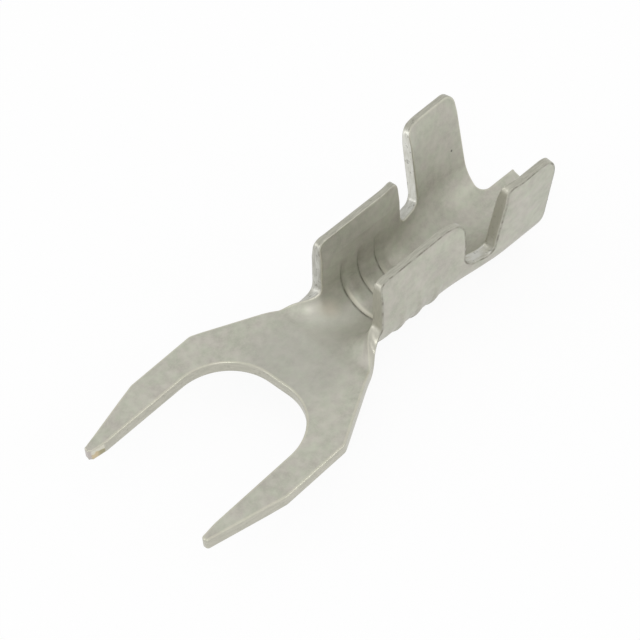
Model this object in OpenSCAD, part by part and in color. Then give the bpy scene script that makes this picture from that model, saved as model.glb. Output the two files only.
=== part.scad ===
// Open-barrel fork terminal, stamped and folded from one plated sheet.
// The origin is the stud's axis on the underside of the fork; +X runs along the part to the barrel.

/* [Sheet] */
// Thickness of the sheet
sheet_t = 0.5; // [0.4:0.05:0.6]

/* [Fork] */
// Width of the stud slot at its closed end
slot_w = 5.3; // [4.8:0.1:5.5]
// Radius of the two corners at the slot's closed end
slot_corner_r = 2.13; // [1:0.01:2.3]
// Angle by which each slot wall opens towards the tips
slot_draft = 0.7; // [0:0.1:1]
// Width across the fork's straight sides
fork_w = 7.66; // [7.4:0.02:8.4]
// Distance from the stud's axis back to the shoulders, where the fork starts to narrow
shoulder_x = 2.1; // [1.6:0.1:2.6]
// Length of the straight sides
side_len = 2.96; // [2:0.02:3.6]
// Distance from the stud's axis forward to the tips
tip_reach = 3.94; // [3:0.02:5]
// Width of the blunt end of each tine
tip_w = 0.2; // [0.1:0.05:0.3]
// Length of the lead-in on the inner side of each tine
lead_in = 0.7; // [0.4:0.1:1]
// Depth of that lead-in
lead_in_depth = 0.14; // [0.05:0.01:0.3]
// Length of the torn stub that stays on one tine where it was cut from its neighbour
stub_len = 0.12; // [0.05:0.01:0.3]
// Radius at the two shoulders and where the taper of each tine starts
side_corner_r = 0.4; // [0.1:0.1:0.8]

/* [Neck] */
// Angle of the narrowing edges to the part's axis
flare_angle = 28.8; // [27:0.2:31]
// Length over which the flat sheet curls into the barrel
neck_len = 1.4; // [1.2:0.1:1.8]
// Drop of the barrel's underside below the fork's underside
barrel_drop = 0.61; // [0.2:0.01:0.9]
// Angle by which the barrel slopes down from the fork
barrel_tilt = 4; // [0:0.5:6]
// Radius in the corner between the narrowing edge and the front edge of a wing
neck_fillet = 0.6; // [0.2:0.05:0.7]

/* [Conductor barrel] */
// Distance from the stud's axis to the front edge of the conductor wings
conductor_x = 6.3; // [6.1:0.1:7]
// Outside width of the conductor barrel
conductor_w = 3.44; // [3.2:0.02:3.7]
// Length of the conductor wings
conductor_len = 4.36; // [4:0.02:5]
// Height of the conductor wings above the barrel's underside
conductor_h = 3.93; // [3.6:0.01:4.6]
// Corner radius of the conductor wings
conductor_corner_r = 0.55; // [0.2:0.05:0.9]

/* [Grip grooves] */
// Number of grooves pressed across the conductor barrel
groove_count = 3; // [1:1:3]
// Distance from the front edge of the wings to the first groove
groove_start = 1.15; // [0.7:0.05:1.2]
// Distance from groove to groove
groove_pitch = 0.9; // [0.7:0.01:0.95]
// Width of a groove at the surface
groove_w = 0.42; // [0.3:0.02:0.6]
// Depth of a groove inside the barrel
groove_depth = 0.12; // [0.05:0.01:0.2]
// Height of its ridge outside
ridge_h = 0.06; // [0.02:0.01:0.15]
// Height of the grooves above the barrel's underside
groove_h = 2.55; // [2:0.05:3]

/* [Notch] */
// Length of the notch between the conductor wings and the insulation wings
notch_len = 1.24; // [1.1:0.02:2]
// Height of the sheet left in the notch above the barrel's underside
notch_h = 1.73; // [1.4:0.01:2.2]
// Corner radius at the bottom of the notch
notch_r = 0.4; // [0.1:0.05:0.5]
// Length over which the floor widens from one barrel to the other, centred on the notch
blend_len = 3.1; // [2:0.1:3.2]

/* [Insulation barrel] */
// Outside width of the insulation barrel's round floor
insulation_w = 4.46; // [3.9:0.02:4.8]
// Length of the insulation wings at the notch's floor
insulation_len = 2.82; // [2.4:0.02:3.4]
// Height of the insulation wings above the barrel's underside
insulation_h = 5.06; // [4.4:0.02:5.8]
// Angle by which the insulation wings lean outwards
insulation_lean = 9.7; // [4:0.1:14]
// Angle by which each edge of these wings slopes in towards the top
wing_taper = 1.7; // [0:0.1:6]
// Radius of the front top corners
insulation_front_r = 0.5; // [0.2:0.05:0.8]
// Radius of the rear top corners
insulation_rear_r = 0.75; // [0.2:0.05:0.9]

/* [Coined tips] */
// Thickness left at the top of all four wings
tip_t = 0.28; // [0.2:0.02:0.4]
// Distance below the top over which they thin
coin_len = 1.8; // [0.6:0.1:2]

/* [Tail] */
// Length of the cut-off tab behind the insulation wings
tail_len = 1.68; // [0.8:0.02:2.5]
// Width of that tab
tail_w = 2.02; // [1.4:0.02:2.6]
// Radius between the wings' rear edges and the tab
tail_fillet = 0.5; // [0.2:0.05:0.6]

/* [Hidden] */
$fn = 96;

// Tin plate, as seen in soft light
tin = [0.69, 0.69, 0.64];
// Steps along a rounded corner, across half a curled section, and along a curled stretch
corner_steps = 8;
across_steps = 14;
along_steps = 16;
// Depth by which a curled stretch reaches into its neighbours, just inside their skins
seam_reach = 0.05;
seam_inset = 0.01;
// Height by which the wings are drawn past their tops before they are cut
over_top = 0.2;
// Least share of the barrel's curl, which stands for a flat sheet
least_curl = 0.001;
// A length that clears the part in every direction
clear_of_all = 60;
// Rounding of a whole tip, and the steps of the torn one, as shares of the tip's width
tip_round = 0.45;
torn_step = 0.15;
torn_crest = 0.45;
// How far the torn crest stands out and its inner side falls back, as shares of the stub's length
torn_proud = 0.4;
torn_back = 0.5;
// Half widths of a ridge at its foot and crest and of a groove at its mouth and floor, in half groove widths
ridge_foot = 1.4;
ridge_crest = 0.5;
groove_mouth = 1.6;
groove_floor = 0.4;

// Fork outline
slot_r = slot_w / 2;
fork_r = fork_w / 2;
taper_x = shoulder_x - side_len;
tip_x = -tip_reach;
lead_in_x = tip_x + lead_in;
function slot_wall_y(x) = slot_r + (slot_r - slot_corner_r - x) * tan(slot_draft);
tip_inner_y = slot_wall_y(tip_x) + lead_in_depth;
neck_x = conductor_x - neck_len;
function narrowing_y(x) = fork_r - (x - shoulder_x) * tan(flare_angle);

// Barrel sections, as middle radii of the sheet
conductor_r = conductor_w / 2;
conductor_mid_r = (conductor_w - sheet_t) / 2;
insulation_mid_r = (insulation_w - sheet_t) / 2;

// Places along the barrel and heights in the barrel's own frame
barrel_z = -barrel_drop;
floor_z = barrel_z + sheet_t / 2;
conductor_end = conductor_x + conductor_len;
insulation_x = conductor_end + notch_len;
insulation_end = insulation_x + insulation_len;
tail_end = insulation_end + tail_len;
conductor_top = barrel_z + conductor_h;
notch_z = barrel_z + notch_h;
insulation_top = barrel_z + insulation_h;
taper_run = (insulation_top - notch_z) * tan(wing_taper);
blend_x = (conductor_end + insulation_x - blend_len) / 2;
blend_end = blend_x + blend_len;

function unit(v) = v / norm(v);
function mix(a, b, s) = a + (b - a) * s;
function part(s) = max(0, min(1, s));
function ease(s) = part(s) ^ 2 * (3 - 2 * part(s));

// Points of an outline whose corners [x, y, r] are rounded by r
function corner_arc(a, p, b) =
    let (
        u = unit([a.x - p.x, a.y - p.y]),
        v = unit([b.x - p.x, b.y - p.y]),
        half = acos(max(-1, min(1, u * v))) / 2,
        r = p.z,
        back = r / tan(half),
        m = [p.x, p.y] + unit(u + v) * r / sin(half),
        start = [p.x, p.y] + u * back - m,
        turn = (180 - 2 * half) * sign(u.x * v.y - u.y * v.x)
    )
    r <= 0 ? [[p.x, p.y]] :
    [for (i = [0:corner_steps])
        let (g = -turn * i / corner_steps)
        m + [start.x * cos(g) - start.y * sin(g), start.x * sin(g) + start.y * cos(g)]];
function rounded(c) =
    [for (i = [0:len(c) - 1]) each corner_arc(c[(i + len(c) - 1) % len(c)], c[i], c[(i + 1) % len(c)])];

// A folded section is an arc of middle radius r, then a straight wing on each side that leans outwards.
// Length of that arc on one side
function arc_len(r, lean) = r * (90 - lean) * PI / 180;
// Middle line at distance a from the section's centre
function fold(a, r, lean) =
    let (s = sign(a), d = abs(a), arc = arc_len(r, lean), g = min(d, arc) / r * 180 / PI)
    [s * (r * sin(g) + max(0, d - arc) * sin(lean)), r * (1 - cos(g)) + max(0, d - arc) * cos(lean)];
// Direction across the sheet there, pointing to the inside of the fold
function fold_in(a, r, lean) =
    let (s = sign(a), g = min(abs(a), arc_len(r, lean)) / r * 180 / PI)
    [-s * sin(g), cos(g)];
// Distance from the centre at which a wing is h above the barrel's underside
function wing_reach(h, r, lean) =
    arc_len(r, lean) + (h - sheet_t / 2 - r * (1 - sin(lean))) / cos(lean);
// Thickness at distance a on a wing whose top is at distance top
function thickness(a, top) = mix(tip_t, sheet_t, part((top - abs(a)) / coin_len));
// Distances at which a wing starts, starts to thin, and is cut well above its top
function wing_places(r, lean, top) =
    let (arc = arc_len(r, lean))
    [arc, max(arc + over_top, top - coin_len), top + over_top];
// Point on the outer face of the fold for side -1, and on its inner face for side 1
function face_point(a, r, lean, t, side) = fold(a, r, lean) + fold_in(a, r, lean) * side * t / 2;

// Closed loop of points round a folded section, at the given distances on both sides of its centre
function section(r, lean, places, top) =
    let (
        all = concat([for (i = [len(places) - 1:-1:1]) -places[i]], places),
        n = len(all)
    )
    [for (side = [-1, 1], i = [0:n - 1])
        let (a = all[side < 0 ? i : n - 1 - i])
        face_point(a, r, lean, thickness(a, top) - 2 * seam_inset, side)];
// A station at x with its section, on the fork's axis turned down by a share of the barrel's tilt
function station(x, z, tilt, loop) =
    [for (p = loop) let (u = x - conductor_x, w = z + p.y)
        [conductor_x + u * cos(tilt) + w * sin(tilt), p.x, w * cos(tilt) - u * sin(tilt)]];
function steps_to(d) = [for (i = [0:across_steps]) d * i / across_steps];

// Solid through a list of stations; each end is closed by strips across the sheet
module loft(stations) {
    n = len(stations[0]);
    last = (len(stations) - 1) * n;
    strips = [for (i = [0:n / 2 - 2]) each [[i, i + 1, n - 2 - i], [i, n - 2 - i, n - 1 - i]]];
    polyhedron(
        points = [for (s = stations) each s],
        faces = concat(
            strips,
            [for (j = [0:n:last - n], i = [0:n - 1])
                let (a = j + i, b = j + (i + 1) % n)
                each [[a, a + n, b + n], [a, b + n, b]]],
            [for (f = strips) [last + f[2], last + f[1], last + f[0]]]
        ),
        convexity = 6
    );
}

// Corners of the fork's outline on one side, from the neck round the tine to the slot's closed end
slot_flat = slot_r - slot_corner_r;
tip_outer_y = tip_inner_y + tip_w;
function side_corners(tip) = concat(
    [
        [neck_x, narrowing_y(neck_x), 0],
        [shoulder_x, fork_r, side_corner_r],
        [taper_x, fork_r, side_corner_r]
    ],
    tip,
    [[lead_in_x, slot_wall_y(lead_in_x), 0], [slot_flat, slot_r, 0]]
);
// The one tip is round, the other keeps a torn stub
tip_r = tip_w * tip_round;
round_tip = [[tip_x, tip_outer_y, tip_r], [tip_x, tip_inner_y, tip_r]];
torn_tip = [
    [tip_x + stub_len, tip_outer_y, 0],
    [tip_x, tip_outer_y - tip_w * torn_step, 0],
    [tip_x - stub_len * torn_proud, tip_inner_y + tip_w * torn_crest, 0],
    [tip_x + stub_len * torn_back, tip_inner_y, 0]
];
round_side = side_corners(round_tip);
fork_outline = rounded(concat(
    side_corners(torn_tip),
    [for (i = [len(round_side) - 1:-1:0]) [round_side[i].x, -round_side[i].y, round_side[i].z]]
));

// Closed end of the slot: a short flat between two round corners
module slot_end() {
    for (s = [-1, 1]) {
        translate([slot_flat, s * slot_flat])
            circle(slot_corner_r);
    }
    translate([0, -slot_flat])
        square([slot_r, 2 * slot_flat]);
}

// Flat tongue with its open slot
module fork() {
    linear_extrude(sheet_t)
        difference() {
            polygon(fork_outline);
            slot_end();
        }
}

// Half length of the sheet along the neck: the narrowing edge, then the fillet up to the wing
fillet_turn = 90 - flare_angle;
fillet_x = conductor_x - neck_fillet;
fillet_y = narrowing_y(conductor_x) + neck_fillet / tan(fillet_turn / 2);
fillet_start = fillet_x - neck_fillet * sin(flare_angle);
function neck_half(x) =
    x < fillet_start
        ? narrowing_y(x)
        : fillet_y - sqrt(max(0, neck_fillet ^ 2 - (x - fillet_x) ^ 2));
// Stations stand closer together towards the wing, where the edge turns up
function neck_place(i) =
    let (s = i / along_steps) neck_x + neck_len * (1 - (1 - s) ^ 2);

module neck() {
    inner = [for (i = [0:along_steps])
        let (
            x = neck_place(i),
            s = ease((x - neck_x) / neck_len),
            r = conductor_mid_r / max(s, least_curl)
        )
        station(x, mix(0, barrel_z, s) + sheet_t / 2, barrel_tilt * s,
            section(r, 0, steps_to(neck_half(x) - seam_inset), clear_of_all))];
    front = [for (p = inner[0]) p - [seam_reach, 0, 0]];
    back = [for (p = inner[along_steps]) p + seam_reach * [cos(barrel_tilt), 0, -sin(barrel_tilt)]];
    loft(concat([front], inner, [back]));
}

// Folded section whose wings thin towards the height h above the barrel's underside
module folded_section(r, lean, h) {
    top = wing_reach(h, r, lean);
    module filled(side) {
        right = [for (a = wing_places(r, lean, top)) face_point(a, r, lean, thickness(a, top), side)];
        past = right[2] + over_top * part(side) * [0, 1];
        translate([0, r])
            circle(r - side * sheet_t / 2);
        polygon([
            right[0], right[1], right[2], past,
            [-past.x, past.y], [-right[2].x, right[2].y], [-right[1].x, right[1].y], [-right[0].x, right[0].y]
        ]);
    }
    difference() {
        filled(-1);
        filled(1);
    }
}

// Moves a section drawn in Y and Z to x and draws it out by l along the barrel
module along_barrel(x, l) {
    translate([x, 0, floor_z])
        rotate([90, 0, 90])
            linear_extrude(l)
                children();
}

// One band round the conductor barrel, d to both sides of radius r, of half width w0 inside and w1 outside;
// up the wings it leans inwards, so that it fades out at its top
module band(r, d, w0, w1) {
    outline = [[r - d, -w0], [r + d, -w1], [r + d, w1], [r - d, w0]];
    rise = groove_h - conductor_r;
    rotate([0, 90, 0])
        rotate([0, 0, -90])
            rotate_extrude(angle = 180)
                polygon(outline);
    for (s = [0, 1]) {
        mirror([0, s, 0])
            translate([0, r, 0])
                rotate([atan(d / rise), 0, 0])
                    translate([0, -r, -seam_reach])
                        rotate([0, 0, 90])
                            linear_extrude(rise + seam_reach)
                                polygon(outline);
    }
}

module bands(r, d, w0, w1) {
    for (i = [0:groove_count - 1]) {
        translate([conductor_x + groove_start + i * groove_pitch, 0, barrel_z + conductor_r])
            band(r, d, w0 * groove_w / 2, w1 * groove_w / 2);
    }
}

module conductor_barrel() {
    difference() {
        union() {
            along_barrel(conductor_x, blend_x - conductor_x)
                folded_section(conductor_mid_r, 0, conductor_h);
            bands(conductor_r, ridge_h, ridge_foot, ridge_crest);
        }
        bands(conductor_r - sheet_t, groove_depth, groove_mouth, groove_floor);
    }
}

module insulation_barrel() {
    along_barrel(blend_end, tail_end - blend_end)
        folded_section(insulation_mid_r, insulation_lean, insulation_h);
}

// Curled stretch round the notch, where the sheet widens from one barrel to the other
module barrel_blend() {
    inner = [for (i = [0:along_steps])
        let (
            x = mix(blend_x, blend_end, i / along_steps),
            s = ease(i / along_steps),
            r = mix(conductor_mid_r, insulation_mid_r, s),
            lean = insulation_lean * s,
            h = mix(conductor_h, insulation_h, ease((x - conductor_end) / notch_len)),
            top = wing_reach(h, r, lean),
            wing = wing_places(r, lean, top)
        )
        station(x, floor_z, 0, section(r, lean, concat(steps_to(wing[0]), [wing[1], wing[2]]), top))];
    front = [for (p = inner[0]) p - [seam_reach, 0, 0]];
    back = [for (p = inner[along_steps]) p + [seam_reach, 0, 0]];
    loft(concat([front], inner, [back]));
}

// Side view of the wings, the notch and the tab
function wing_outline() = rounded([
    [conductor_x, -clear_of_all, 0],
    [conductor_x, conductor_top, conductor_corner_r],
    [conductor_end, conductor_top, conductor_corner_r],
    [conductor_end, notch_z, notch_r],
    [insulation_x, notch_z, notch_r],
    [insulation_x + taper_run, insulation_top, insulation_front_r],
    [insulation_end - taper_run, insulation_top, insulation_rear_r],
    [insulation_end, notch_z, 0],
    [tail_end, notch_z, 0],
    [tail_end, -clear_of_all, 0]
]);

// Top view of the barrel with its tab
function plan_outline() = rounded([
    [0, -clear_of_all, 0],
    [insulation_end, -clear_of_all, 0],
    [insulation_end, -tail_w / 2, tail_fillet],
    [tail_end, -tail_w / 2, 0],
    [tail_end, tail_w / 2, 0],
    [insulation_end, tail_w / 2, tail_fillet],
    [insulation_end, clear_of_all, 0],
    [0, clear_of_all, 0]
]);

module barrel() {
    intersection() {
        union() {
            conductor_barrel();
            barrel_blend();
            insulation_barrel();
        }
        rotate([90, 0, 0])
            linear_extrude(clear_of_all, center = true)
                polygon(wing_outline());
        translate([0, 0, -clear_of_all / 2])
            linear_extrude(clear_of_all)
                polygon(plan_outline());
    }
}

module fork_terminal() {
    color(tin) {
        fork();
        neck();
        translate([conductor_x, 0, 0])
            rotate([0, barrel_tilt, 0])
                translate([-conductor_x, 0, 0])
                    barrel();
    }
}

fork_terminal();
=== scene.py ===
"""Fork terminal: one plated sheet, folded in code from its blank, on a pale floor in soft light."""

import math

import bpy
import numpy as np
from mathutils import Matrix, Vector
from mathutils.geometry import delaunay_2d_cdt
from mathutils.kdtree import KDTree


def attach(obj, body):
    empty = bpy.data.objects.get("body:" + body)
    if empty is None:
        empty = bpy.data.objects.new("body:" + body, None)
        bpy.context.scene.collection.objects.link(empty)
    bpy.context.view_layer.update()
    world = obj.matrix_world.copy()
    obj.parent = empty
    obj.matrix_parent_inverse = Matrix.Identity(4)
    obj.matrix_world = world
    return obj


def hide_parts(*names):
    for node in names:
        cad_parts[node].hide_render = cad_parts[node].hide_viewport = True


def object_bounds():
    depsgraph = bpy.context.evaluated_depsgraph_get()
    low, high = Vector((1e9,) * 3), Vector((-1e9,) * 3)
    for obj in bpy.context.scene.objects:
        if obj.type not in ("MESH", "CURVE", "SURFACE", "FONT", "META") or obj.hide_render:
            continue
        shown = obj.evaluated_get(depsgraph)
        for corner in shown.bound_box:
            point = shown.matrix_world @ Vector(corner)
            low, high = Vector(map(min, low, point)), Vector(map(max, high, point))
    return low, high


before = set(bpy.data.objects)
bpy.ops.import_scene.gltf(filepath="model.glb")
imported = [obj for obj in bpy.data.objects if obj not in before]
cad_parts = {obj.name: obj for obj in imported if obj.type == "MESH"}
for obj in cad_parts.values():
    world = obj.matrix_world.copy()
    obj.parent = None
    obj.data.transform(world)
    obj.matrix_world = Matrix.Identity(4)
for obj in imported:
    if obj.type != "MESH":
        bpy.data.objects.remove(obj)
cad_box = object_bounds()

NODE = "fork_terminal"
SLOT = "tin_plate"
BODY = "root"
MM = 0.001

# Sheet and fork, in millimetres; x runs along the part from the stud's axis
SHEET = 0.5
SLOT_R = 2.65
SLOT_CORNER_R = 2.13
SLOT_DRAFT = math.radians(0.7)
FORK_R = 3.83
SHOULDER_X = 2.1
TAPER_X = -0.86
SIDE_CORNER_R = 0.4
LEAD_IN = 0.7
LEAD_IN_DEPTH = 0.07
TIP_X = -3.94
TIP_W = 0.27
ROUND_TIP_X = -3.98
ROUND_TIP_R = 0.45 * TIP_W

# Torn stub at the far tip, with its slant and its point as shares of its length and the tip's width
STUB_LEN = 0.12
STUB_SLANT = 0.3
STUB_POINT = 0.3
STUB_POINT_R = 0.02
STUB_CORNER_R = 0.03

# Neck, where the sheet dips and starts to curl
FLARE = math.radians(27.8)
NECK_LEN = 1.25
NECK_FILLET = 0.45
DIP_X = 4.5
DIP_END = 6.9

# Barrels, the notch between them and the blend of their sections
BARREL_DROP = 0.61
BARREL_TILT = math.radians(4)
CONDUCTOR_X = 6.3
CONDUCTOR_END = 10.66
CONDUCTOR_H = 3.93
CONDUCTOR_R = 1.47
CONDUCTOR_CORNER_R = 0.45
NOTCH_H = 1.73
NOTCH_R = 0.4
BLEND_X = 9.73
BLEND_END = 12.83
INSULATION_X = 11.9
INSULATION_END = 14.72
INSULATION_H = 5.06
INSULATION_R = 1.98
INSULATION_LEAN = math.radians(9.7)
INSULATION_FRONT_R = 0.4
WING_TAPER = math.radians(1.7)
COIN_LEN = 0.9
TIP_THICKNESS = 0.28
TAIL_FILLET = 0.5
TAIL_CORNER_R = 0.05
NECK_X = CONDUCTOR_X - NECK_LEN
NOTCH_X = (CONDUCTOR_END + INSULATION_X) / 2

# What differs between the sides: insulation wing's front and rear corner, cut tail, slot's wall
FAR_SIDE = {"slant": -0.08, "rear_r": 0.5, "tail_half": 1.01, "tail_end": 16.53, "slot_in": 0.06}
NEAR_SIDE = {"slant": 0.12, "rear_r": 0.75, "tail_half": 0.75, "tail_end": 16.6, "slot_in": 0}

# Grooves pressed across the conductor barrel, with the spans of their steep front, rear and fade
GROOVE_START = 7.45
GROOVE_PITCH = 0.9
GROOVE_COUNT = 3
GROOVE_DEPTH = 0.12
RIDGE_H = 0.06
GROOVE_FRONT = (-0.14, -0.06)
GROOVE_REAR = (0, 0.36)
GROOVE_FADE = (2.35, 3.15)

# Edges left by the punch: the rolled side, the burr side, and the band of face that joins them
ROLL_TOP = 0.07
ROLL_BOTTOM = 0.06
ROLL_STEPS = 5
WALL_STEPS = 4
EDGE_BAND = 0.1
SLIM_TIP = 0.5
CLEAR_SHARE = 0.8
SHEAR_FADE = ROLL_BOTTOM / 4
ROLL_FULL = ROLL_BOTTOM / 3

# Spacing and limits of the mesh
POINT_GAP = 0.085
GROOVE_GAP = 0.035
RING_GAP = 0.6 * POINT_GAP
CORNER_STEP = math.radians(9)
LINE_STEP = 0.07
FLAT_CURL = 1e-6
LEAST_AHEAD = 1e-9
MERGE_GAP = 1e-7
KEEP_INSIDE = 1

# Clouds, tints and specks of the plate: scale per millimetre, span of the noise, and colours
CLOUD_SCALE = 0.9
CLOUD_SPAN = (0.36, 0.64)
DULL_TIN = (0.41, 0.405, 0.35, 1)
PALE_TIN = (0.515, 0.515, 0.445, 1)
TINT_SCALE = 2.3
TINT_SPAN = (0.35, 0.65)
GREEN_TINT = (0.97, 1, 0.95, 1)
PINK_TINT = (1.02, 0.985, 1, 1)
BLOTCH_SCALE = 3.5
SPECK_SCALE = 13
SPECK_SPAN = (0.42, 0.7)
SPECK_SHARE = 0.4
SPECK_TIN = (0.55, 0.53, 0.46, 1)

# Sheen and grain of the plate; metal goes from its faces to its edges
METAL = (0.4, 0.65)
ROUGH_SPAN = (0.3, 0.7)
ROUGH = (0.4, 0.5)
EDGE_POLISH = 0.1
GRAIN_STRETCH = (1.2, 14, 14)
BUMP_STRENGTH = 0.2
BUMP_H = 0.01

# Soft round patches on the upper face, as (place on the blank, span of the fade, share, tint):
# painted shade on the bridge, painted light and a painted highlight at the neck, and a dark pinhole
FACE_T = SHEET / 2
# Painted shade: the bridge darker than the tips
BRIDGE_PAINTED_SHADE = ((3.6, 0, FACE_T), (2.4, 1.2), 0.4, (0.36, 0.36, 0.315, 1))
# Painted light: a pale patch that lifts the shade in the neck's dip
NECK_PAINTED_LIGHT = ((6.0, 0.5, FACE_T), (1.8, 0.5), 0.45, (0.66, 0.66, 0.58, 1))
# Painted highlight where the neck curls up into the far conductor wing
NECK_PAINTED_HIGHLIGHT = ((6.35, 1.2, FACE_T), (0.6, 0.1), 0.6, (0.8, 0.74, 0.63, 1))
PINHOLE = ((14.04, 3.65, FACE_T), (0.06, 0.03), 0.8, (0.05, 0.05, 0.04, 1))

# Painted lines at the grooves: a highlight behind each steep front, a highlight on the first groove's
# ridge and shade along each steep front; as (place, wide, narrow, share) in pitches, and their fades
# up the wings
INNER_T = 0.8 * FACE_T
LIP_HIGHLIGHT_LINE = (0.19, 0.14, 0.03, 0.6)
LIP_HIGHLIGHT_FADE = (1.7, 0.9)
LIP_HIGHLIGHT = (0.74, 0.72, 0.61, 1)
CREST_HIGHLIGHT_LINE = (0.2, 0.1, 0.03, 0.6)
CREST_HIGHLIGHT_FADE = (1.6, 1.1)
CREST_HIGHLIGHT = (0.9, 0.87, 0.75, 1)
# Painted shade along each groove's steep front, broken up by the blotches
SHADE_LINE = (0, 0.1, 0.02, 0.8)
SHADE_FADE = (GROOVE_FADE[1], GROOVE_FADE[0] - 0.3)
SHADE_SPAN = (0.35, 0.6)
SHADE_SHARES = (0.35, 0.9)
GROOVE_SHADE = (0.1, 0.095, 0.07, 1)

# Regions of the edges: the wings, the far side, the insulation wings, the notch and the wings' tops
WING_SPAN = (4.8, 6)
FAR_SPAN = (-0.5, 0.5)
REAR_SPAN = (INSULATION_X - 0.1, INSULATION_X)
NOTCH_SPAN = (0.68, 0.55)
TOP_SPAN = (0.3, 0.1)

# Sheared walls of the edges: streaks from dull to pale in each region, a painted highlight on the
# notch's face, and pits
STREAK_STRETCH = (2.2, 2.2, 11)
STREAK_SPAN = (0.38, 0.62)
FORK_CUT = ((0.47, 0.46, 0.39, 1), (0.53, 0.515, 0.44, 1))
NEAR_REAR_DULL = (0.5, 0.49, 0.405, 1)
FAR_FRONT_CUT = ((0.44, 0.435, 0.39, 1), (0.6, 0.6, 0.555, 1))
FAR_REAR_CUT = ((0.63, 0.625, 0.56, 1), (0.86, 0.86, 0.8, 1))
TOP_CUT = ((0.37, 0.365, 0.305, 1), (0.47, 0.46, 0.39, 1))
# Painted highlight: the pale streaks on the notch's sheared face
NOTCH_HIGHLIGHT = (0.58, 0.58, 0.54, 1)
PIT_SCALE = 5.5
PIT_SPAN = (0.61, 0.7)
PIT_SHARE = 0.6
PIT_SPREAD = (0.3, 1)
PIT_DARK = (0.17, 0.165, 0.135, 1)

# Shares and colours of the wall, the pale roll from fork to wings, partly burnish and partly painted
# highlight, and the blotched burr
SHEAR_SHARE = 0.9
ROLL_BURNISH_AND_HIGHLIGHT_SHARES = (0.4, 0.25)
ROLL_BURNISH_AND_HIGHLIGHT = (0.7, 0.68, 0.55, 1)
BURR_SPAN = (0.4, 0.6)
BURR_SHARES = (0.2, 0.75)
BURR_DARK = (0.14, 0.13, 0.1, 1)

# Torn tip: pale above a ragged line, brass below it, greyer at its blunt end
TORN_X = -3.3
TORN_SPAN = (TORN_X, TORN_X - 0.04)
TORN_PALE = (0.68, 0.66, 0.56, 1)
BRASS_TOP = (0.22, 0.16)
BRASS_RAGGED = 0.4
BRASS_SPAN = (TORN_X - 0.2, TORN_X - 0.35)
BRASS_DULL = (0.36, 0.33, 0.2, 1)
BRASS_BRIGHT = (0.61, 0.5, 0.31, 1)
BLUNT_SPAN = (TIP_X + STUB_LEN, TIP_X + STUB_LEN / 2)
BLUNT_GREY = (0.5, 0.46, 0.43, 1)

# Studio: floor, world, and lights as (name, direction, strength, spread in degrees)
WHITE = (1.0, 1.0, 1.0, 1.0)
FLOOR_HALF = 2.0
FLOOR_GREY = (0.86, 0.86, 0.86, 1)
FLOOR_GLOW = 0.92
SKY = 0.88
LIGHTS = (
    ("front_light", (-0.5, -0.4, 0.77), 0.4, 12),
    ("side_light", (0.39, -0.76, 0.46), 0.2, 10),
    ("left_light", (-0.76, 0.48, 0.37), 0.3, 25),
)

# Camera fitted to the photo, with its place in millimetres
CAMERA_PLACE = (-38.90, -47.93, 77.98)
CAMERA_TURN = math.radians(-42.50)
CAMERA_TILT = math.radians(49.59)
CAMERA_ROLL = math.radians(-5.79)
LENS = 159.13
SENSOR = 36


def smooth(s):
    """Eased step from 0 to 1."""
    s = np.clip(s, 0, 1)
    return s * s * (3 - 2 * s)


def ramp(x, span):
    """Eased step from 0 at the span's start to 1 at its end."""
    return smooth((x - span[0]) / (span[1] - span[0]))


def bend_at(x):
    """Curl, lean of the wings, height of the sheet's middle and tilt of the section at x."""
    neck = ramp(x, (NECK_X, CONDUCTOR_X))
    widen = ramp(x, (BLEND_X, BLEND_END))
    radius = CONDUCTOR_R + (INSULATION_R - CONDUCTOR_R) * widen
    curl = np.maximum(neck / radius, FLAT_CURL)
    drop = BARREL_DROP * ramp(x, (DIP_X, DIP_END))
    return curl, INSULATION_LEAN * widen, SHEET / 2 - drop, BARREL_TILT * neck


def across(h, x):
    """Distance across the blank at which a wing is h above the barrel's underside."""
    curl, lean, _, _ = bend_at(x)
    foot = SHEET / 2 + (1 - math.sin(lean)) / curl
    return (math.pi / 2 - lean) / curl + (h - foot) / math.cos(lean)


def wing_tops():
    """Distances across the blank to the tops of the conductor wings and the insulation wings."""
    return across(CONDUCTOR_H, CONDUCTOR_X), across(INSULATION_H, INSULATION_END)


def groove_depth(x, a, t):
    """How far the sheet is pressed outwards at x along, a across and t above the blank's middle."""
    pressed = np.zeros_like(x)
    for i in range(GROOVE_COUNT):
        u = x - GROOVE_START - i * GROOVE_PITCH
        pressed += ramp(u, GROOVE_FRONT) * (1 - ramp(u, GROOVE_REAR))
    depth = RIDGE_H + (GROOVE_DEPTH - RIDGE_H) * (0.5 + t / SHEET)
    return depth * pressed * (1 - ramp(np.abs(a), GROOVE_FADE))


def thinning(x, a):
    """Share of the sheet's thickness left by the coining of the wings towards their tops."""
    conductor_top, insulation_top = wing_tops()
    top = np.where(x < NOTCH_X, conductor_top, insulation_top)
    least = TIP_THICKNESS / SHEET
    return least + (1 - least) * np.clip((top - np.abs(a)) / COIN_LEN, 0, 1)


def fold(x, a, t):
    """Place in space of the point at x along the blank, a across it and t above its middle."""
    curl, lean, height, tilt = bend_at(x)
    arc = (math.pi / 2 - lean) / curl
    turn = np.minimum(np.abs(a), arc) * curl
    rest = np.maximum(0, np.abs(a) - arc)
    t = t * thinning(x, a) - groove_depth(x, a, t)
    y = np.sign(a) * (np.sin(turn) / curl + rest * np.sin(lean) - t * np.sin(turn))
    z = height + (1 - np.cos(turn)) / curl + rest * np.cos(lean) + t * np.cos(turn)
    along = x - CONDUCTOR_X
    return np.stack([
        CONDUCTOR_X + along * np.cos(tilt) + z * np.sin(tilt),
        y,
        z * np.cos(tilt) - along * np.sin(tilt),
    ], -1)


def slot_wall(x):
    """Distance of the slot's wall from the part's axis at x."""
    return SLOT_R + (SLOT_R - SLOT_CORNER_R - x) * math.tan(SLOT_DRAFT)


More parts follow.
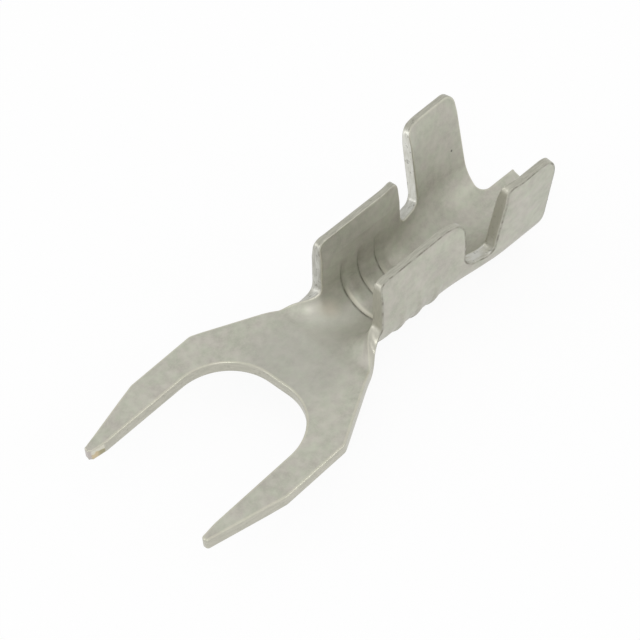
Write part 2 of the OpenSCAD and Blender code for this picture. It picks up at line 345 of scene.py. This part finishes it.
def side_corners(tip, slant, rear_r, tail_half, tail_end, slot_in):
    """Corners of one half of the blank as (x, a, radius), from the slot's end to the tail."""
    taper = (INSULATION_H - NOTCH_H) * math.tan(WING_TAPER)
    tab = INSULATION_R * math.asin(tail_half / INSULATION_R)
    lead_x = TIP_X + LEAD_IN
    neck_y = FORK_R - (CONDUCTOR_X - SHOULDER_X) * math.tan(FLARE)
    return [
        (SLOT_R, SLOT_R - slot_in, SLOT_CORNER_R + slot_in),
        (lead_x, slot_wall(lead_x) - slot_in, SIDE_CORNER_R),
        *tip,
        (TAPER_X, FORK_R, SIDE_CORNER_R),
        (SHOULDER_X, FORK_R, SIDE_CORNER_R),
        (CONDUCTOR_X, neck_y, NECK_FILLET),
        (CONDUCTOR_X, across(CONDUCTOR_H, CONDUCTOR_X), CONDUCTOR_CORNER_R),
        (CONDUCTOR_END, across(CONDUCTOR_H, CONDUCTOR_END), CONDUCTOR_CORNER_R),
        (CONDUCTOR_END, across(NOTCH_H, CONDUCTOR_END), NOTCH_R),
        (INSULATION_X, across(NOTCH_H, INSULATION_X), NOTCH_R),
        (INSULATION_X + taper + slant, across(INSULATION_H, INSULATION_X), INSULATION_FRONT_R),
        (INSULATION_END - taper, across(INSULATION_H, INSULATION_END), rear_r),
        (INSULATION_END, tab, TAIL_FILLET),
        (tail_end, tab, TAIL_CORNER_R),
    ]


def blank_corners():
    """Corners of the whole blank, with a round tip on the near side and a torn one on the far."""
    inner = slot_wall(TIP_X) + LEAD_IN_DEPTH
    outer = inner + TIP_W
    round_tip = [(ROUND_TIP_X, inner, ROUND_TIP_R), (ROUND_TIP_X, outer, ROUND_TIP_R)]
    torn_tip = [
        (TIP_X + STUB_LEN, inner - LEAD_IN_DEPTH / 2, STUB_CORNER_R),
        (TIP_X, inner + TIP_W * STUB_POINT, STUB_POINT_R),
        (TIP_X + STUB_LEN * STUB_SLANT, outer, STUB_CORNER_R),
    ]
    far = side_corners(torn_tip, **FAR_SIDE)
    near = [(x, -a, r) for x, a, r in side_corners(round_tip, **NEAR_SIDE)]
    return near + far[::-1]


def rounded(corners):
    """Closed outline through the corners, each rounded by its radius, with its lines divided."""
    points = []
    count = len(corners)
    for i, (x, y, r) in enumerate(corners):
        p = np.array([x, y])
        u = np.array(corners[i - 1][:2]) - p
        v = np.array(corners[(i + 1) % count][:2]) - p
        u, v = u / np.linalg.norm(u), v / np.linalg.norm(v)
        half = math.acos(np.clip(u @ v, -1, 1)) / 2
        middle = p + (u + v) / np.linalg.norm(u + v) * r / math.sin(half)
        start = p + u * r / math.tan(half) - middle
        turn = -(math.pi - 2 * half) * np.sign(u[0] * v[1] - u[1] * v[0])
        steps = max(2, math.ceil(abs(turn) / CORNER_STEP), math.ceil(abs(turn) * r / LINE_STEP))
        for k in range(steps + 1):
            c, s = math.cos(turn * k / steps), math.sin(turn * k / steps)
            points.append(middle + [start[0] * c - start[1] * s, start[0] * s + start[1] * c])
    filled = []
    for p, q in zip(points, points[1:] + points[:1]):
        steps = max(1, math.ceil(np.linalg.norm(q - p) / LINE_STEP))
        filled += [p + (q - p) * k / steps for k in range(steps)]
    return np.array(filled)


def inward(loop):
    """Unit vectors at the points of a closed loop, pointing into it."""
    ahead = np.roll(loop, -1, 0) - np.roll(loop, 1, 0)
    ahead /= np.linalg.norm(ahead, axis=1)[:, None]
    area = np.sum(loop[:, 0] * np.roll(loop[:, 1], -1) - np.roll(loop[:, 0], -1) * loop[:, 1])
    return np.sign(area) * np.stack([-ahead[:, 1], ahead[:, 0]], 1)


def clearance(loop, normals):
    """How far each point of a closed loop can move inwards and stay clear of the rest of it."""
    gap = loop - loop[:, None]
    ahead = np.sum(gap * normals[:, None], 2)
    reach = np.sum(gap ** 2, 2) / np.maximum(2 * ahead, LEAST_AHEAD)
    np.fill_diagonal(reach, np.inf)
    return CLEAR_SHARE * reach.min(1)


def inside(points, loop):
    """Which points lie inside a closed loop."""
    found = np.zeros(len(points), bool)
    for (x0, y0), (x1, y1) in zip(loop, np.roll(loop, -1, 0)):
        if y0 != y1:
            crossing = (points[:, 1] > min(y0, y1)) & (points[:, 1] <= max(y0, y1))
            found ^= crossing & (points[:, 0] < x0 + (points[:, 1] - y0) / (y1 - y0) * (x1 - x0))
    return found


def face_points(loop):
    """Points that fill a loop, closer together along the grooves."""
    low, high = loop.min(0), loop.max(0)
    groove_x = GROOVE_START + 2 * GROOVE_FRONT[0]
    groove_end = GROOVE_START + (GROOVE_COUNT - 1) * GROOVE_PITCH + 2 * GROOVE_REAR[1]
    columns = np.concatenate([
        np.arange(low[0], groove_x, POINT_GAP),
        np.arange(groove_x, groove_end, GROOVE_GAP),
        np.arange(groove_end, high[0], POINT_GAP),
    ])
    rows = np.arange(low[1], high[1], POINT_GAP)
    x, a = np.meshgrid(columns, rows, indexing="ij")
    a[1::2] += POINT_GAP / 2
    points = np.stack([x.ravel(), a.ravel()], 1)
    points = points[inside(points, loop)]
    tree = KDTree(len(loop))
    for i, p in enumerate(loop):
        tree.insert((*p, 0), i)
    tree.balance()
    clear = [tree.find((*p, 0))[2] > RING_GAP for p in points]
    return points[clear]


def flat_face(ring):
    """Points and triangles that fill a ring, and the places of the ring's own points among them."""
    count = len(ring)
    edges = [(i, (i + 1) % count) for i in range(count)]
    flat = np.concatenate([ring, face_points(ring)])
    made, _, triangles, origins, _, _ = delaunay_2d_cdt(
        [tuple(p) for p in flat], edges, [list(range(count))], KEEP_INSIDE, MERGE_GAP
    )
    place = {i: k for k, members in enumerate(origins) for i in members}
    rim = np.array([place[i] for i in range(count)])
    return np.array([tuple(p) for p in made]), triangles, rim


def edge_profile():
    """Steps round the sheet's edge from its top to its underside, as (distance inwards, height)."""
    half = SHEET / 2
    turns = np.linspace(0, math.pi / 2, ROLL_STEPS + 1)

    def roll(r):
        """Steps round an upper edge of radius r, from the face to the wall."""
        return [(r * (1 - math.sin(g)), half - r * (1 - math.cos(g))) for g in turns]

    top = roll(ROLL_TOP)
    low = [(inset, -t) for inset, t in roll(ROLL_BOTTOM)[::-1]]
    wall = np.linspace(top[-1][1], low[0][1], WALL_STEPS + 1)[1:-1]
    return [*top, *[(0, t) for t in wall], *low]


def folded_mesh():
    """Mesh of the folded sheet, with its points' places on the blank and shares of shear and roll."""
    loop = rounded(blank_corners())
    normals = inward(loop)
    towards_tip = np.clip((loop[:, 0] - TIP_X) / LEAD_IN, SLIM_TIP, 1)
    slim = np.where(loop[:, 1] > 0, towards_tip, 1)
    room = np.minimum(slim, clearance(loop, normals) / EDGE_BAND)[:, None]
    made, triangles, rim = flat_face(loop + normals * EDGE_BAND * room)
    count = len(loop)
    half = np.full(len(made), SHEET / 2)
    points = [np.column_stack([made, half]), np.column_stack([made, -half])]
    shear = [np.zeros(2 * len(made))]
    roll = [np.zeros(2 * len(made))]
    rings = [rim]
    start = 2 * len(made)
    for inset, t in edge_profile():
        points.append(np.column_stack([loop + normals * inset * room, np.full(count, t)]))
        shear.append(np.full(count, 1 - min(1, inset / SHEAR_FADE)))
        roll.append(np.full(count, np.sign(t) * min(1, inset / ROLL_FULL)))
        rings.append(np.arange(start, start + count))
        start += count
    rings.append(rim + len(made))
    blank = np.concatenate(points)
    faces = [tuple(f) for f in triangles]
    faces += [tuple(len(made) + k for k in f[::-1]) for f in triangles]
    for upper, lower in zip(rings, rings[1:]):
        after, below = np.roll(upper, -1), np.roll(lower, -1)
        faces += [tuple(f) for f in np.column_stack([upper, lower, below, after]).tolist()]
    mesh = bpy.data.meshes.new(NODE)
    mesh.from_pydata((fold(*blank.T) * MM).tolist(), [], faces)
    mesh.polygons.foreach_set("use_smooth", [True] * len(mesh.polygons))
    store(mesh, "blank", "FLOAT_VECTOR", "vector", blank)
    store(mesh, "shear", "FLOAT", "value", np.concatenate(shear))
    store(mesh, "roll", "FLOAT", "value", np.concatenate(roll))
    return mesh


def store(mesh, name, kind, field, values):
    """Keeps values for the mesh's points under a name that its material can read."""
    layer = mesh.attributes.new(name, kind, "POINT")
    layer.data.foreach_set(field, np.asarray(values, np.float32).ravel())


class Nodes:
    """Short calls to add and join a material's or a world's nodes."""

    def __init__(self, owner):
        owner.use_nodes = True
        self.tree = owner.node_tree
        self.tree.nodes.clear()

    def add(self, kind, inputs=None, **settings):
        made = self.tree.nodes.new(kind)
        for name, value in settings.items():
            setattr(made, name, value)
        for name, value in (inputs or {}).items():
            if isinstance(value, bpy.types.NodeSocket):
                self.tree.links.new(value, made.inputs[name])
            else:
                made.inputs[name].default_value = value
        return made

    def attribute(self, name, output):
        return self.add("ShaderNodeAttribute", attribute_name=name).outputs[output]

    def split(self, place):
        return self.add("ShaderNodeSeparateXYZ", {0: place}).outputs

    def math(self, operation, a, b=0):
        return self.add("ShaderNodeMath", {0: a, 1: b}, operation=operation).outputs[0]

    def size(self, value):
        return self.math("ABSOLUTE", value)

    def times(self, product, *factors):
        for factor in factors:
            product = self.math("MULTIPLY", product, factor)
        return product

    def average(self, a, b):
        return self.math("ADD", self.times(a, 0.5), self.times(b, 0.5))

    def noise(self, place, scale, detail):
        inputs = {"Vector": place, "Scale": scale, "Detail": detail}
        return self.add("ShaderNodeTexNoise", inputs).outputs["Fac"]

    def distance(self, place, point):
        made = self.add("ShaderNodeVectorMath", {0: place, 1: point}, operation="DISTANCE")
        return made.outputs["Value"]

    def stretch(self, place, scale):
        made = self.add("ShaderNodeMapping", {"Vector": place, "Scale": scale})
        return made.outputs["Vector"]

    def ramp(self, value, low, high, start=0, end=1):
        inputs = {"Value": value, "From Min": low, "From Max": high, "To Min": start, "To Max": end}
        return self.add("ShaderNodeMapRange", inputs).outputs["Result"]

    def mix(self, share, a, b):
        return self.add("ShaderNodeMix", {0: share, 6: a, 7: b}, data_type="RGBA").outputs[2]

    def patch(self, blank, colour, place, span, share, tint):
        return self.mix(self.ramp(self.distance(blank, place), *span, 0, share), colour, tint)


def tin_plate():
    """Matt tin over brass: clouded and speckled plate, streaked edges, brass at the torn tip, with
    painted shade and painted highlights on the upper face and at the grooves, and a partly painted
    highlight on the rolled edges.
    """
    material = bpy.data.materials.new(SLOT)
    n = Nodes(material)
    blank = n.attribute("blank", "Vector")
    blotch = n.noise(blank, BLOTCH_SCALE, 3)
    speck = n.noise(blank, SPECK_SCALE, 2)
    colour = plate_colour(n, blank, blotch)
    colour = n.mix(n.ramp(speck, *SPECK_SPAN, 0, SPECK_SHARE), colour, SPECK_TIN)
    # Painted shade on the bridge, painted light and a painted highlight at the neck
    for mark in (BRIDGE_PAINTED_SHADE, NECK_PAINTED_LIGHT, NECK_PAINTED_HIGHLIGHT):
        colour = n.patch(blank, colour, *mark)
    colour = groove_colour(n, blank, blotch, colour)
    colour = edge_colour(n, blank, blotch, colour)
    colour = n.patch(blank, colour, *PINHOLE)
    edge = n.math("MAXIMUM", n.attribute("shear", "Fac"), n.size(n.attribute("roll", "Fac")))
    rough = n.math("SUBTRACT", n.ramp(speck, *ROUGH_SPAN, *ROUGH), n.times(edge, EDGE_POLISH))
    grain = n.noise(n.stretch(blank, GRAIN_STRETCH), 1, 2)
    bump = n.add("ShaderNodeBump", {
        "Strength": BUMP_STRENGTH,
        "Distance": BUMP_H * MM,
        "Height": n.average(speck, grain),
    })
    shader = n.add("ShaderNodeBsdfPrincipled", {
        "Base Color": colour,
        "Metallic": n.ramp(edge, 0, 1, *METAL),
        "Roughness": rough,
        "Normal": bump.outputs["Normal"],
    })
    n.add("ShaderNodeOutputMaterial", {"Surface": shader.outputs["BSDF"]})
    return material


def plate_colour(n, blank, blotch):
    """Clouds from dull to pale tin, tinted from green to pink by a second noise."""
    tone = n.average(n.noise(blank, CLOUD_SCALE, 3), blotch)
    plate = n.mix(n.ramp(tone, *CLOUD_SPAN), DULL_TIN, PALE_TIN)
    tint = n.mix(n.ramp(n.noise(blank, TINT_SCALE, 2), *TINT_SPAN), GREEN_TINT, PINK_TINT)
    tinted = n.add("ShaderNodeVectorMath", {0: plate, 1: tint}, operation="MULTIPLY")
    return tinted.outputs["Vector"]


def groove_colour(n, blank, blotch, plate):
    """The plate with a painted shade line along each groove's steep front and a painted highlight
    behind it, and a second painted highlight behind the first groove.
    """
    x, a, t = n.split(blank)
    start = GROOVE_START + GROOVE_FRONT[0] - GROOVE_PITCH / 2
    pitches = n.math("DIVIDE", n.math("SUBTRACT", x, start), GROOVE_PITCH)
    off = n.math("SUBTRACT", n.math("FRACT", pitches), 0.5)
    up = n.size(a)
    within = n.times(
        n.math("GREATER_THAN", pitches, 0),
        n.math("LESS_THAN", pitches, GROOVE_COUNT),
        n.math("GREATER_THAN", t, INNER_T),
    )

    def line_at(place, wide, narrow, share):
        """A soft line along each groove, with its place and widths in pitches."""
        line = n.ramp(n.size(n.math("SUBTRACT", off, place)), wide, narrow, 0, share)
        return n.times(line, within)

    # Painted highlights: behind each groove's steep front, and again on the first groove's ridge
    lip_highlight = n.times(line_at(*LIP_HIGHLIGHT_LINE), n.ramp(up, *LIP_HIGHLIGHT_FADE))
    first = n.math("LESS_THAN", pitches, 1)
    crest_highlight = n.times(line_at(*CREST_HIGHLIGHT_LINE), first, n.ramp(up, *CREST_HIGHLIGHT_FADE))
    # Painted shade along each groove's steep front, broken up by the blotches
    blotched = n.ramp(blotch, *SHADE_SPAN, *SHADE_SHARES)
    dark = n.times(line_at(*SHADE_LINE), n.ramp(up, *SHADE_FADE), blotched)
    plate = n.mix(crest_highlight, n.mix(lip_highlight, plate, LIP_HIGHLIGHT), CREST_HIGHLIGHT)
    return n.mix(dark, plate, GROOVE_SHADE)


def edge_colour(n, blank, blotch, plate):
    """The plate with its edges: sheared wall, bare metal where it tore, pale roll that is partly
    burnish and partly painted highlight, and dark burr.
    """
    x, a, _ = n.split(blank)
    roll = n.attribute("roll", "Fac")
    wing = n.ramp(x, *WING_SPAN)
    far = n.ramp(a, *FAR_SPAN)
    torn = n.times(n.ramp(x, *TORN_SPAN), far)
    cut = n.mix(torn, sheared_colour(n, blank, wing, far), torn_colour(n, blank, blotch))
    colour = n.mix(n.times(n.attribute("shear", "Fac"), SHEAR_SHARE), plate, cut)
    # Pale roll: partly burnish, partly a painted highlight, stronger on the fork than on the wings
    lit = n.times(n.math("MAXIMUM", roll, 0), n.ramp(wing, 0, 1, *ROLL_BURNISH_AND_HIGHLIGHT_SHARES))
    colour = n.mix(lit, colour, ROLL_BURNISH_AND_HIGHLIGHT)
    under = n.math("MAXIMUM", n.times(roll, -1), 0)
    return n.mix(n.times(under, n.ramp(blotch, *BURR_SPAN, *BURR_SHARES)), colour, BURR_DARK)


def sheared_colour(n, blank, wing, far):
    """Streaked and pitted wall of the edge, brightest on the far wings, with a painted highlight at
    the notch, dull along the tops.
    """
    x, a, _ = n.split(blank)
    rear = n.ramp(x, *REAR_SPAN)
    far_wing = n.times(wing, far)
    notch = n.ramp(n.size(n.math("SUBTRACT", x, NOTCH_X)), *NOTCH_SPAN)
    to_top = n.math("SUBTRACT", n.ramp(rear, 0, 1, *wing_tops()), n.size(a))
    top = n.ramp(to_top, *TOP_SPAN)
    dull = n.mix(rear, FORK_CUT[0], NEAR_REAR_DULL)
    dull = n.mix(far_wing, dull, n.mix(rear, FAR_FRONT_CUT[0], FAR_REAR_CUT[0]))
    dull = n.mix(top, dull, TOP_CUT[0])
    pale = n.mix(far_wing, FORK_CUT[1], n.mix(rear, FAR_FRONT_CUT[1], FAR_REAR_CUT[1]))
    # Painted highlight on the notch's face
    pale = n.mix(notch, pale, NOTCH_HIGHLIGHT)
    pale = n.mix(top, pale, TOP_CUT[1])
    streak = n.noise(n.stretch(blank, STREAK_STRETCH), 1, 3)
    cut = n.mix(n.ramp(streak, *STREAK_SPAN), dull, pale)
    pits = n.ramp(n.noise(blank, PIT_SCALE, 2), *PIT_SPAN, 0, PIT_SHARE)
    pitted = n.ramp(n.math("MAXIMUM", far_wing, notch), 0, 1, *PIT_SPREAD)
    return n.mix(n.times(pits, pitted), cut, PIT_DARK)


def torn_colour(n, blank, blotch):
    """Torn tip: pale tin above, brass below, and a greyer blunt end."""
    x, _, t = n.split(blank)
    low = n.ramp(n.math("ADD", t, n.times(blotch, BRASS_RAGGED)), *BRASS_TOP)
    brass = n.mix(n.ramp(x, *BRASS_SPAN), BRASS_DULL, BRASS_BRIGHT)
    return n.mix(n.ramp(x, *BLUNT_SPAN), n.mix(low, TORN_PALE, brass), BLUNT_GREY)


def seen_directly(n):
    """1 for rays from the camera, from gloss and through glass, else 0."""
    path = n.add("ShaderNodeLightPath").outputs
    direct = n.math("MAXIMUM", path["Is Camera Ray"], path["Is Glossy Ray"])
    return n.math("MAXIMUM", direct, path["Is Transmission Ray"])


def add_floor():
    """Pale floor under the part, nearly white where it is seen directly, with a faint shadow."""
    size = FLOOR_HALF
    low = cad_box[0].z
    mesh = bpy.data.meshes.new("floor")
    corners = [(-size, -size, low), (size, -size, low), (size, size, low), (-size, size, low)]
    mesh.from_pydata(corners, [], [(0, 1, 2, 3)])
    material = bpy.data.materials.new("floor")
    n = Nodes(material)
    matt = n.add("ShaderNodeBsdfDiffuse", {"Color": FLOOR_GREY})
    glow = n.add("ShaderNodeEmission", {"Color": WHITE, "Strength": 1.0})
    share = n.times(seen_directly(n), FLOOR_GLOW)
    both = n.add("ShaderNodeMixShader", {0: share, 1: matt.outputs[0], 2: glow.outputs[0]})
    n.add("ShaderNodeOutputMaterial", {"Surface": both.outputs[0]})
    mesh.materials.append(material)
    floor = bpy.data.objects.new("floor", mesh)
    bpy.context.scene.collection.objects.link(floor)


def add_world():
    """Even white light from all round, pure white to the camera."""
    world = bpy.data.worlds.new("studio")
    bpy.context.scene.world = world
    n = Nodes(world)
    strength = n.ramp(n.add("ShaderNodeLightPath").outputs["Is Camera Ray"], 0, 1, SKY, 1)
    back = n.add("ShaderNodeBackground", {"Color": WHITE, "Strength": strength})
    n.add("ShaderNodeOutputWorld", {"Surface": back.outputs[0]})


def add_sun(name, towards, strength, spread):
    """Soft light from a direction, as wide as a lamp box seen from the part."""
    light = bpy.data.lights.new(name, "SUN")
    light.energy = strength
    light.angle = math.radians(spread)
    lamp = bpy.data.objects.new(name, light)
    bpy.context.scene.collection.objects.link(lamp)
    x, y, z = towards
    lamp.rotation_euler = (math.atan2(math.hypot(x, y), z), 0, math.atan2(x, -y))


def add_camera():
    """Camera at the photo's viewing angle, from its place, turn, tilt and roll."""
    data = bpy.data.cameras.new("camera")
    data.lens = LENS
    data.sensor_width = SENSOR
    data.clip_start = MM
    camera = bpy.data.objects.new("camera", data)
    bpy.context.scene.collection.objects.link(camera)
    aim = Matrix.Rotation(CAMERA_TURN, 4, "Z") @ Matrix.Rotation(math.pi / 2 - CAMERA_TILT, 4, "X")
    place = Matrix.Translation([c * MM for c in CAMERA_PLACE])
    camera.matrix_world = place @ aim @ Matrix.Rotation(CAMERA_ROLL, 4, "Z")
    bpy.context.scene.camera = camera


terminal = bpy.data.objects.new("folded_sheet", folded_mesh())
terminal.data.materials.append(tin_plate())
bpy.context.scene.collection.objects.link(terminal)
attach(terminal, BODY)
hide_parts(NODE)

add_floor()
add_world()
for light in LIGHTS:
    add_sun(*light)
add_camera()
bpy.context.scene.view_settings.view_transform = "Standard"
